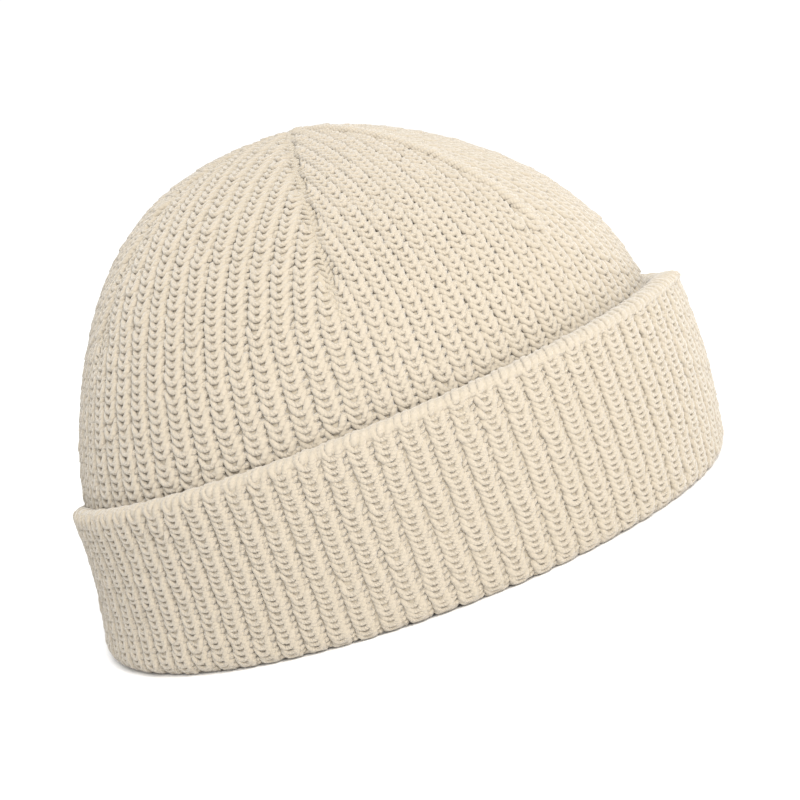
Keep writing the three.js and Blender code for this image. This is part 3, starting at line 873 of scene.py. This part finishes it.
def cuff_stitches(section, stitch, steps, sides, seed):
    """Every stitch of one kind in a section, from the edge down and round the fold."""
    chance = np.random.default_rng(seed)
    ribs = np.array_split(np.arange(RIBS), CUFF_SECTIONS)[section]
    rib, row = np.meshgrid(ribs.astype(float), np.arange(1.0, 40.0), indexing="ij")
    rib, row = rib.ravel(), row.ravel()
    rise = cuff_edge_height(even_angle(rib / RIBS)) - FOLD_RADIUS
    below = row * CUFF_ROW_PITCH + CUFF_LOOPS_START
    kept = below < rise + FOLD_ARC + CUFF_LOOPS_PAST_FOLD
    rib, below = rib[kept], below[kept]
    count = len(rib)
    path = smooth_path(stitch, steps)
    sway = chance.normal(0.0, 1.0, (count, 4))
    at_rib = rib[:, None] + path[None, :, 0] + sway[:, 0, None] * SWAY_ACROSS
    at_below = below[:, None] - (path[None, :, 1] + sway[:, 1, None] * SWAY_UP) * CUFF_ROW_PITCH
    point, out = cuff_at(at_rib / RIBS, np.maximum(at_below, 0.4))
    proud = path[None, :, 2] + sway[:, 2, None] * SWAY_PROUD
    size = np.clip(1.0 + sway[:, 3, None] * SWAY_SIZE, 0.8, 1.2)
    centres = point + out * (proud - CUFF_LOOP_SINKS)[..., None]
    rings = tubes(centres, out, path[None, :, 3] * size, path[None, :, 4] * size, sides)
    return rings, painted_lightness_by_depth(proud), chance.uniform(0.0, 1.0, count)


def cuff_section(section):
    """Two pieces: the loops on a section's ribs, and the beads in its grooves."""
    loops = cuff_stitches(section, CUFF_LOOP_PATH, steps=10, sides=6, seed=21 + section)
    beads = cuff_stitches(section, CUFF_GROOVE_PATH, steps=5, sides=4, seed=121 + section)
    return [loop_piece(f"cuff_ribs_{section + 1}", *loops, ecru_yarn, "ecru_rib_knit"),
            loop_piece(f"cuff_grooves_{section + 1}", *beads, ecru_yarn, "ecru_rib_knit")]


cuff_stitch_pieces = [piece for section in range(CUFF_SECTIONS) for piece in cuff_section(section)]

# The cuff's edge: the cast-on row, knitted in one with the cuff. It rolls in over the crown as
# a soft cord, fatter at the front end, and three strands to a rib wind over it. It is of the
# same yarn, painted a touch lighter as painted light, since nothing shades it.
EDGE_STRANDS_PER_RIB = 3
EDGE_HALF_HEIGHT = 2.6
EDGE_HALF_WIDTH, EDGE_WIDER_AT_FRONT = 3.0, 2.1
EDGE_STANDS_OUT, EDGE_FURTHER_AT_FRONT = -0.4, 0.8
EDGE_CORE_DEPTH, EDGE_CORE_WAVE = 0.22, 0.1
EDGE_STRAND_DEPTH, EDGE_STRAND_WAVE = 0.66, 0.22
EDGE_STRAND_HALF_WIDTH, EDGE_STRAND_HALF_DEPTH = 1.28, 0.72
EDGE_WRAP_START, EDGE_WRAP = -75.0, 235.0


def edge_at(share, bend, deeper):
    """A point of the roll's round section, so much in from its skin, and its outward direction."""
    point, out = cuff_at(share, np.full_like(share, EDGE_HALF_HEIGHT + 0.2))
    frontness = np.cos(even_angle(share))
    half_width = EDGE_HALF_WIDTH + EDGE_WIDER_AT_FRONT * np.clip(frontness, 0.0, 1.0)
    stands_out = EDGE_STANDS_OUT + EDGE_FURTHER_AT_FRONT * frontness
    middle = point + out * (stands_out - half_width)[..., None]
    sideways = out * ((half_width - deeper) * np.cos(bend))[..., None]
    up = np.zeros_like(out)
    up[..., 2] = (EDGE_HALF_HEIGHT - deeper) * np.sin(bend)
    ray = sideways + up
    return middle + ray, ray / np.linalg.norm(ray, axis=-1, keepdims=True)


def cuff_edge_core():
    columns, sides = 6 * RIBS, 8
    share = np.arange(columns) / columns
    deeper = EDGE_CORE_DEPTH - EDGE_CORE_WAVE * np.cos(2.0 * np.pi * share * RIBS)
    bends = -2.0 * np.pi * np.arange(sides) / sides
    points = np.array([edge_at(share, np.full(columns, bend), deeper)[0] for bend in bends])
    faces = [grid_faces(sides, columns), closing_faces(sides, columns)]
    core = put_in_scene("cuff_edge_core", points.reshape(-1, 3), faces)
    add_map(core, [grid_map(sides, columns, 0.0, 0.85), grid_map(2, columns, 0.86, 0.98)])
    # Painted light: the roll is painted lighter than the cuff's web, as nothing shades it.
    add_number(core, "proud", 0.6)
    add_number(core, "tint", 0.5)
    core.data.materials.append(painted_lighter_yarn)
    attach(core, "root")
    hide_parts("cuff_edge")
    return core


def cuff_edge_yarn():
    """The strands that wind over the roll, so many degrees round it from under its outer side."""
    chance = np.random.default_rng(31)
    count = RIBS * EDGE_STRANDS_PER_RIB
    first = np.arange(count) / count + chance.normal(0.0, 0.06, count) / count
    run = np.linspace(0.0, 1.0, 10)
    bend = np.radians(EDGE_WRAP_START + EDGE_WRAP * run)[None, :]
    bend = bend + chance.normal(0.0, 0.1, (count, 1))
    share = first[:, None] + (run[None, :] - 0.4) * 1.25 / count
    wave = np.cos(2.0 * np.pi * share * RIBS)
    centres, ray = edge_at(share, bend, EDGE_STRAND_DEPTH - EDGE_STRAND_WAVE * wave)
    thick = np.sin(np.pi * np.clip(run, 0.06, 0.94))[None, :] ** 0.5
    size = 1.0 + chance.normal(0.0, 0.07, (count, 1))
    half_width = EDGE_STRAND_HALF_WIDTH * thick * size
    half_depth = EDGE_STRAND_HALF_DEPTH * thick * size
    rings = tubes(centres, ray, half_width, half_depth, sides=6)
    # Painted shade: each strand is painted darker towards its ends, where it dives into the roll's shade.
    painted_lightness = np.broadcast_to(0.55 + 0.45 * thick, rings.shape[:2])
    tints = chance.uniform(0.2, 1.0, count)
    return loop_piece("cuff_edge_yarn", rings, painted_lightness, tints, painted_lighter_yarn, "pale_ecru_yarn")


edge_pieces = [cuff_edge_core(), cuff_edge_yarn()]
